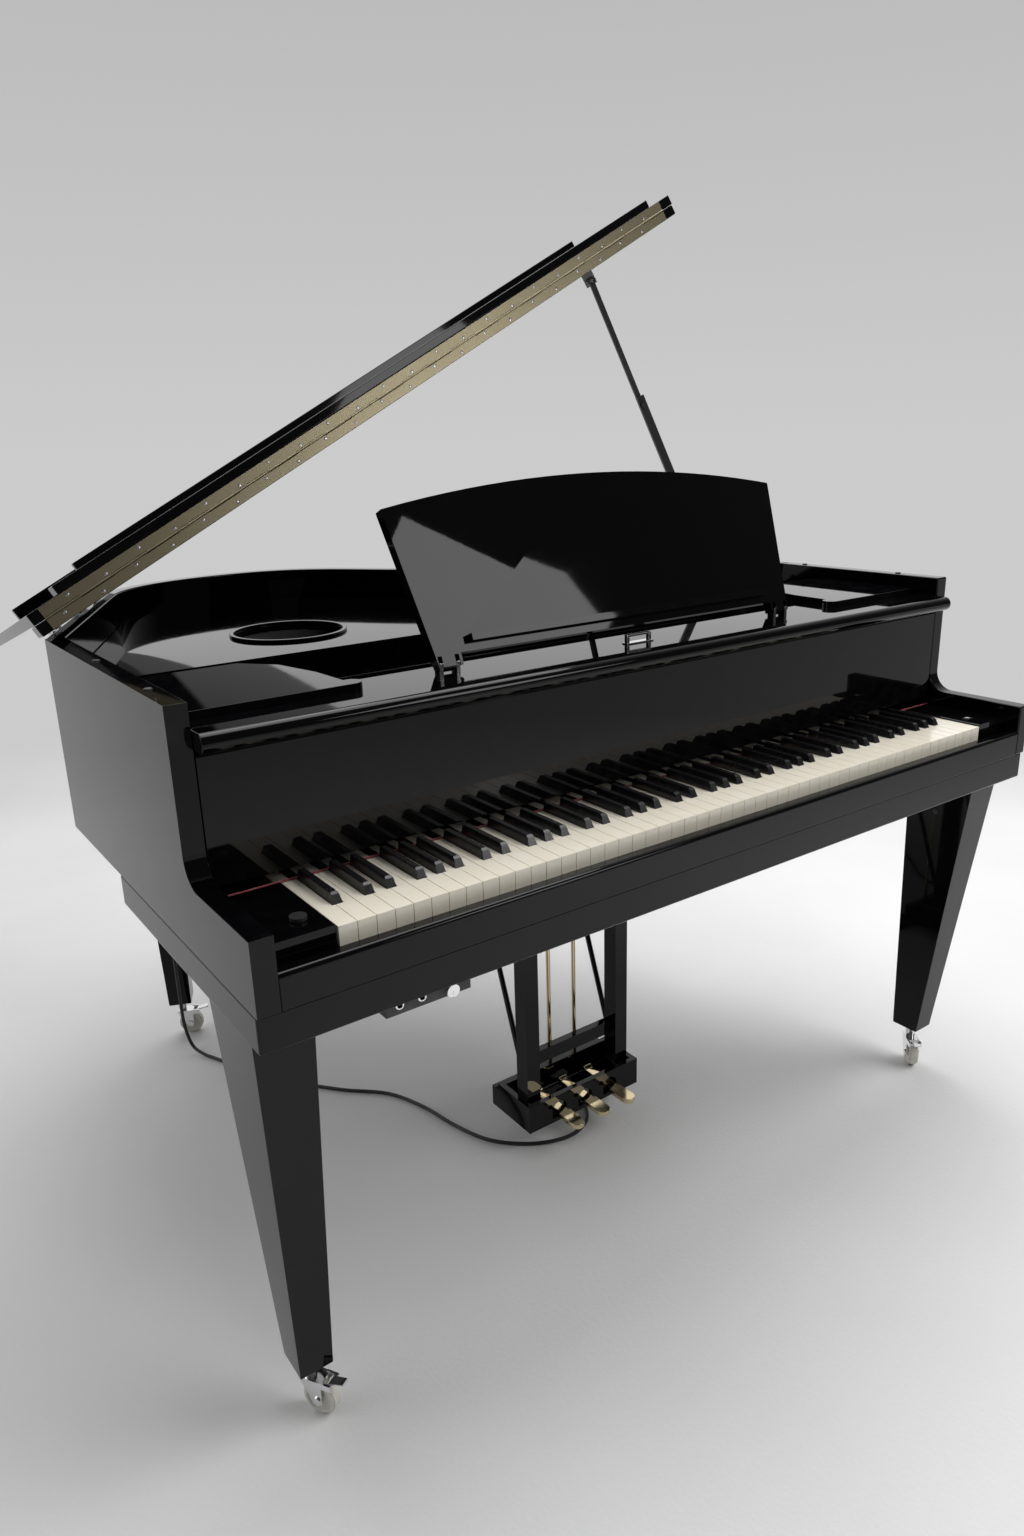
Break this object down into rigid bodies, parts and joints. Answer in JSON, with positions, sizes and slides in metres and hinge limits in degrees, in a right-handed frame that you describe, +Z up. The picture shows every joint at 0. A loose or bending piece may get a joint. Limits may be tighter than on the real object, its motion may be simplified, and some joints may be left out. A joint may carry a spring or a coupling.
{
  "type": "digital baby grand piano",
  "caption": "Glossy black digital baby grand piano with a propped lid, folded front flap, music desk, keyboard, pedal lyre and casters.",
  "frame": {"origin": "on the floor, below the middle of the overall box with the lid raised, the free cord left out", "axes": "+Z up, the player sits at -Y, +X towards the treble end"},
  "size_m": [1.4777, 1.3639, 1.6722],
  "materials": {
    "lacquer": "high gloss black lacquer",
    "satin_black": "satin black",
    "key_white": "glossy ivory",
    "key_black": "satin black",
    "felt": "woven red felt",
    "chrome": "polished",
    "steel": "plain",
    "brass": "polished",
    "circuit": "solder resist",
    "can": "zinc plated",
    "tread": "matt",
    "cable": "matt",
    "lever": "satin"
  },
  "bodies": {
    "case": {"keybed": "lacquer", "left_side_panel": "lacquer", "right_side_panel": "lacquer", "rear_rim": "lacquer", "bottom_board": "lacquer", "top_plate": "lacquer", "port_ring": "satin_black", "woofer": "satin_black", "front_shelf": "lacquer", "wing_shelves": "lacquer", "key_slip": "lacquer", "key_blocks": "lacquer", "key_felt": "felt", "key_frame": "steel", "white_keys": "key_white", "black_keys": "key_black", "main_board": "circuit", "power_unit": "can", "control_box": "satin_black", "lyre_frame": "lacquer", "pedal_box": "lacquer", "pedal_rods": "brass", "front_legs": "lacquer", "rear_leg": "lacquer", "rim_hinges": "chrome", "pivot_brackets": "steel", "cord_gland": "cable", "power_cord": "cable", "cord_coil": "cable", "mains_plug": "cable"},
    "lid": {"lid_board": "lacquer", "lid_fittings": "chrome", "lower_strip": "brass"},
    "flap": {"flap_board": "lacquer", "upper_strip": "brass", "flap_frame": "lacquer"},
    "upper_link": {"stay_upper": "satin_black"},
    "lower_link": {"stay_lower": "lacquer"},
    "fallboard": {"fallboard": "lacquer"},
    "desk": {"music_desk": "lacquer"},
    "strut": {"desk_strut": "satin_black"},
    "control_knob": {"control_knob": "chrome"},
    "volume_knob": {"volume_knob": "chrome"},
    "power_switch": {"power_switch": "satin_black"},
    "left_pedal": {"left_pedal": "brass"},
    "middle_pedal": {"middle_pedal": "brass"},
    "right_pedal": {"right_pedal": "brass"},
    "key_c": {"key_c": "key_white"},
    "key_c_sharp": {"key_c_sharp": "key_black"},
    "key_d": {"key_d": "key_white"},
    "key_d_sharp": {"key_d_sharp": "key_black"},
    "left_caster": {"left_fork": "chrome"},
    "left_wheel": {"left_wheel": "tread"},
    "left_brake": {"left_brake": "lever"},
    "right_caster": {"right_fork": "chrome"},
    "right_wheel": {"right_wheel": "tread"},
    "right_brake": {"right_brake": "lever"},
    "rear_caster": {"rear_fork": "chrome"},
    "rear_wheel": {"rear_wheel": "tread"},
    "rear_brake": {"rear_brake": "lever"}
  },
  "joints": [
    {"name": "lid_hinge", "type": "hinge", "parent": "case", "child": "lid", "pos_m": [-0.71268, 0.04654, 0.966], "axis": [-0.4067, -0.9135, 0], "range_deg": [-30, 0]},
    {"name": "flap_fold", "type": "hinge", "parent": "lid", "child": "flap", "pos_m": [-0.07782, 0.01078, 1.33026], "axis": [-0.8882, -0.0498, -0.4568], "range_deg": [-180, 0]},
    {"name": "stay_upper_pivot", "type": "hinge", "parent": "lid", "child": "upper_link", "pos_m": [0.39899, 0.10438, 1.51797], "axis": [-0.4067, -0.9135, 0], "range_deg": [-82.98, 0]},
    {"name": "stay_lower_pivot", "type": "hinge", "parent": "case", "child": "lower_link", "pos_m": [0.63475, -0.00059, 0.951], "axis": [0.4067, 0.9135, 0], "range_deg": [-67.02, 0]},
    {"name": "fallboard_hinge", "type": "hinge", "parent": "case", "child": "fallboard", "pos_m": [0.0158, -0.4919, 0.752], "axis": [-1, 0, 0], "range_deg": [-90, 0]},
    {"name": "desk_fold", "type": "hinge", "parent": "case", "child": "desk", "pos_m": [0.0158, -0.4419, 0.941], "axis": [1, 0, 0], "range_deg": [-65, 0]},
    {"name": "desk_strut_pivot", "type": "hinge", "parent": "desk", "child": "strut", "pos_m": [0.0158, -0.38379, 1.04479], "axis": [-1, 0, 0], "range_deg": [-118.31, 0]},
    {"name": "volume_turn", "type": "hinge", "parent": "case", "child": "volume_knob", "pos_m": [-0.6258, -0.6159, 0.74], "axis": [0, 0, 1], "range_deg": [-150, 150]},
    {"name": "control_turn", "type": "hinge", "parent": "case", "child": "control_knob", "pos_m": [-0.4642, -0.6559, 0.61], "axis": [0, 1, 0], "range_deg": [-150, 150]},
    {"name": "power_press", "type": "slide", "parent": "case", "child": "power_switch", "axis": [0, 0, 1], "range_m": [-0.002, 0], "stiffness_N_per_m": 400, "springref_m": 0.004},
    {"name": "left_pedal_press", "type": "hinge", "parent": "case", "child": "left_pedal", "pos_m": [-0.0442, -0.2559, 0.066], "axis": [-1, 0, 0], "range_deg": [-6, 0], "stiffness_Nm_per_rad": 20, "springref_deg": 5.73},
    {"name": "middle_pedal_press", "type": "hinge", "parent": "case", "child": "middle_pedal", "pos_m": [0.0158, -0.2559, 0.066], "axis": [-1, 0, 0], "range_deg": [-6, 0], "stiffness_Nm_per_rad": 20, "springref_deg": 5.73},
    {"name": "right_pedal_press", "type": "hinge", "parent": "case", "child": "right_pedal", "pos_m": [0.0758, -0.2559, 0.066], "axis": [-1, 0, 0], "range_deg": [-6, 0], "stiffness_Nm_per_rad": 20, "springref_deg": 5.73},
    {"name": "key_c_press", "type": "hinge", "parent": "case", "child": "key_c", "pos_m": [-0.0432, -0.4279, 0.714], "axis": [-1, 0, 0], "range_deg": [-2.5, 0], "stiffness_Nm_per_rad": 2, "springref_deg": 6.88},
    {"name": "key_c_sharp_press", "type": "hinge", "parent": "case", "child": "key_c_sharp", "pos_m": [-0.034, -0.4279, 0.714], "axis": [-1, 0, 0], "range_deg": [-2.5, 0], "stiffness_Nm_per_rad": 2, "springref_deg": 6.88},
    {"name": "key_d_press", "type": "hinge", "parent": "case", "child": "key_d", "pos_m": [-0.0196, -0.4279, 0.714], "axis": [-1, 0, 0], "range_deg": [-2.5, 0], "stiffness_Nm_per_rad": 2, "springref_deg": 6.88},
    {"name": "key_d_sharp_press", "type": "hinge", "parent": "case", "child": "key_d_sharp", "pos_m": [-0.0052, -0.4279, 0.714], "axis": [-1, 0, 0], "range_deg": [-2.5, 0], "stiffness_Nm_per_rad": 2, "springref_deg": 6.88},
    {"name": "left_swivel", "type": "hinge", "parent": "case", "child": "left_caster", "pos_m": [-0.6462, -0.5539, 0.078], "axis": [0, 0, 1], "continuous": true},
    {"name": "left_roll", "type": "hinge", "parent": "left_caster", "child": "left_wheel", "pos_m": [-0.6382, -0.56776, 0.025], "axis": [0.866, 0.5, 0], "continuous": true},
    {"name": "left_brake_press", "type": "hinge", "parent": "left_caster", "child": "left_brake", "pos_m": [-0.6292, -0.58335, 0.053], "axis": [-0.866, -0.5, 0], "range_deg": [-15, 0]},
    {"name": "right_swivel", "type": "hinge", "parent": "case", "child": "right_caster", "pos_m": [0.6778, -0.5539, 0.078], "axis": [0, 0, 1], "continuous": true},
    {"name": "right_roll", "type": "hinge", "parent": "right_caster", "child": "right_wheel", "pos_m": [0.66751, -0.56616, 0.025], "axis": [0.766, -0.6428, 0], "continuous": true},
    {"name": "right_brake_press", "type": "hinge", "parent": "right_caster", "child": "right_brake", "pos_m": [0.65595, -0.57995, 0.053], "axis": [-0.766, 0.6428, 0], "range_deg": [-15, 0]},
    {"name": "rear_swivel", "type": "hinge", "parent": "case", "child": "rear_caster", "pos_m": [-0.46608, 0.4775, 0.078], "axis": [0, 0, 1], "continuous": true},
    {"name": "rear_roll", "type": "hinge", "parent": "rear_caster", "child": "rear_wheel", "pos_m": [-0.45222, 0.46949, 0.025], "axis": [0.5, 0.866, 0], "continuous": true},
    {"name": "rear_brake_press", "type": "hinge", "parent": "rear_caster", "child": "rear_brake", "pos_m": [-0.43663, 0.46049, 0.053], "axis": [-0.5, -0.866, 0], "range_deg": [-15, 0]}
  ],
  "couplings": [
    {"joint": "stay_upper_pivot", "follows": "lid_hinge", "ratio": 2.766},
    {"joint": "stay_lower_pivot", "follows": "lid_hinge", "ratio": 2.234},
    {"joint": "desk_strut_pivot", "follows": "desk_fold", "ratio": 1.82}
  ]
}
